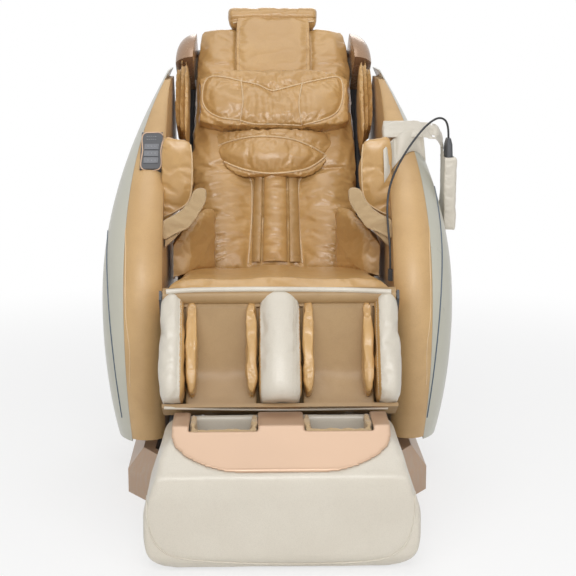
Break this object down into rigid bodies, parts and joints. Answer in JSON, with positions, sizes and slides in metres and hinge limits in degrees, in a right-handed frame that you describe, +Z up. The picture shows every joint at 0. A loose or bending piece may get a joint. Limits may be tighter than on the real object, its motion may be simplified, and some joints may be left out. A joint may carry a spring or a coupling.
{
  "type": "massage chair",
  "caption": "Reclining massage chair with padded arms, calf and foot unit, head pillow, keypad, handset pouch and a roller carriage behind the back cushion.",
  "frame": {"origin": "middle of the base skirt's rim on the floor", "axes": "+Z up, the chair faces -Y, +X is the sitter's left"},
  "size_m": [0.8267, 1.2574, 1.1291],
  "materials": {
    "steel": "black enamel",
    "bronze": "bronze paint",
    "dark": "dark grey",
    "cream_shell": "satin cream",
    "cream_leather": "cream grained",
    "tan_leather": "tan, soft sheen",
    "beige_cloth": "beige knit",
    "wheel": "moulded",
    "key": "grey"
  },
  "bodies": {
    "base": {"base_frame": "steel", "base_skirt": "bronze", "slide_rails": "steel", "control_box": "dark", "air_pump": "dark", "power_inlet": "dark", "wheel_brackets": "steel"},
    "wheel_left": {"transport_wheel_left": "wheel"},
    "wheel_right": {"transport_wheel_right": "wheel"},
    "seat": {"seat_frame": "steel", "rear_panel": "dark", "seat_cushion": "tan_leather", "keypad_panel": "dark", "handset_pouch": "cream_leather", "handset": "dark", "handset_cord": "dark", "cord_gland": "dark", "recline_actuator_tube": "dark", "leg_actuator_tube": "dark", "side_shell_left": "cream_shell", "side_shell_right": "cream_shell", "arm_facing_left": "tan_leather", "arm_facing_right": "tan_leather", "arm_upper_pad_left": "tan_leather", "arm_upper_pad_right": "tan_leather", "arm_lower_pad_left": "beige_cloth", "arm_lower_pad_right": "beige_cloth", "hip_pad_left": "tan_leather", "hip_pad_right": "tan_leather"},
    "key_1": {"keypad_key_1": "key"},
    "key_2": {"keypad_key_2": "key"},
    "key_3": {"keypad_key_3": "key"},
    "recline_rod": {"recline_actuator_rod": "steel"},
    "leg_rod": {"leg_actuator_rod": "steel"},
    "back": {"back_frame": "steel", "guide_rails": "steel", "back_cushion": "tan_leather", "back_shell": "cream_shell", "top_roll": "tan_leather", "shoulder_cap_left": "bronze", "shoulder_cap_right": "bronze", "shoulder_pads_left": "tan_leather", "shoulder_pads_right": "tan_leather"},
    "pillow": {"pillow_flap": "tan_leather", "head_pillow": "tan_leather", "neck_pad": "tan_leather"},
    "carriage": {"massage_carriage": "dark"},
    "knead_left": {"knead_arm_left": "steel"},
    "knead_right": {"knead_arm_right": "steel"},
    "leg": {"calf_shell": "tan_leather", "calf_bolsters": "cream_leather", "calf_air_pads": "tan_leather"},
    "foot": {"foot_box": "cream_leather", "foot_trim": "bronze", "foot_pads": "beige_cloth", "slide_tubes": "steel"},
    "roller_lower_left": {"roller_lower_left": "wheel"},
    "roller_lower_right": {"roller_lower_right": "wheel"},
    "roller_upper_left": {"roller_upper_left": "wheel"},
    "roller_upper_right": {"roller_upper_right": "wheel"}
  },
  "joints": [
    {"name": "seat_slide", "type": "slide", "parent": "base", "child": "seat", "axis": [0, -1, 0], "range_m": [0, 0.12]},
    {"name": "back_recline", "type": "hinge", "parent": "seat", "child": "back", "pos_m": [0, 0.13, 0.43], "axis": [-1, 0, 0], "range_deg": [0, 45]},
    {"name": "leg_lift", "type": "hinge", "parent": "seat", "child": "leg", "pos_m": [0, -0.424, 0.53], "axis": [-1, 0, 0], "range_deg": [0, 75]},
    {"name": "foot_extend", "type": "slide", "parent": "leg", "child": "foot", "axis": [0, -0.5, -0.866], "range_m": [0, 0.15]},
    {"name": "recline_rod_slide", "type": "slide", "parent": "seat", "child": "recline_rod", "axis": [0, -1, 0], "range_m": [0, 0.07272]},
    {"name": "leg_rod_slide", "type": "slide", "parent": "seat", "child": "leg_rod", "axis": [0, -1, 0], "range_m": [0, 0.18264]},
    {"name": "massage_travel", "type": "slide", "parent": "back", "child": "carriage", "axis": [0, 0.5, 0.866], "range_m": [-0.07, 0.33]},
    {"name": "knead_left_swing", "type": "hinge", "parent": "carriage", "child": "knead_left", "pos_m": [0.048, 0.24433, 0.61803], "axis": [0, 0.866, -0.5], "range_deg": [-8, 8]},
    {"name": "roller_lower_left_spin", "type": "hinge", "parent": "knead_left", "child": "roller_lower_left", "pos_m": [0.07, 0.19428, 0.57533], "axis": [1, 0, 0], "continuous": true},
    {"name": "roller_upper_left_spin", "type": "hinge", "parent": "knead_left", "child": "roller_upper_left", "pos_m": [0.07, 0.25628, 0.68272], "axis": [1, 0, 0], "continuous": true},
    {"name": "knead_right_swing", "type": "hinge", "parent": "carriage", "child": "knead_right", "pos_m": [-0.048, 0.24433, 0.61803], "axis": [0, 0.866, -0.5], "range_deg": [-8, 8]},
    {"name": "roller_lower_right_spin", "type": "hinge", "parent": "knead_right", "child": "roller_lower_right", "pos_m": [-0.07, 0.19428, 0.57533], "axis": [1, 0, 0], "continuous": true},
    {"name": "roller_upper_right_spin", "type": "hinge", "parent": "knead_right", "child": "roller_upper_right", "pos_m": [-0.07, 0.25628, 0.68272], "axis": [1, 0, 0], "continuous": true},
    {"name": "pillow_flip", "type": "hinge", "parent": "back", "child": "pillow", "pos_m": [0, 0.42948, 1.10811], "axis": [-1, 0, 0], "range_deg": [0, 150]},
    {"name": "wheel_left_spin", "type": "hinge", "parent": "base", "child": "wheel_left", "pos_m": [0.23, 0.378, 0.033], "axis": [1, 0, 0], "continuous": true},
    {"name": "wheel_right_spin", "type": "hinge", "parent": "base", "child": "wheel_right", "pos_m": [-0.23, 0.378, 0.033], "axis": [1, 0, 0], "continuous": true},
    {"name": "key_1_press", "type": "slide", "parent": "seat", "child": "key_1", "axis": [0, 0.6424, -0.7664], "range_m": [0, 0.0015], "stiffness_N_per_m": 700},
    {"name": "key_2_press", "type": "slide", "parent": "seat", "child": "key_2", "axis": [0, 0.6424, -0.7664], "range_m": [0, 0.0015], "stiffness_N_per_m": 700},
    {"name": "key_3_press", "type": "slide", "parent": "seat", "child": "key_3", "axis": [0, 0.6424, -0.7664], "range_m": [0, 0.0015], "stiffness_N_per_m": 700}
  ],
  "couplings": [
    {"joint": "seat_slide", "follows": "back_recline", "m_per_rad": 0.15279},
    {"joint": "recline_rod_slide", "follows": "back_recline", "m_per_rad": 0.092577},
    {"joint": "foot_extend", "follows": "leg_lift", "m_per_rad": 0.11459},
    {"joint": "leg_rod_slide", "follows": "leg_lift", "m_per_rad": 0.13952},
    {"joint": "knead_right_swing", "follows": "knead_left_swing", "ratio": -1}
  ]
}
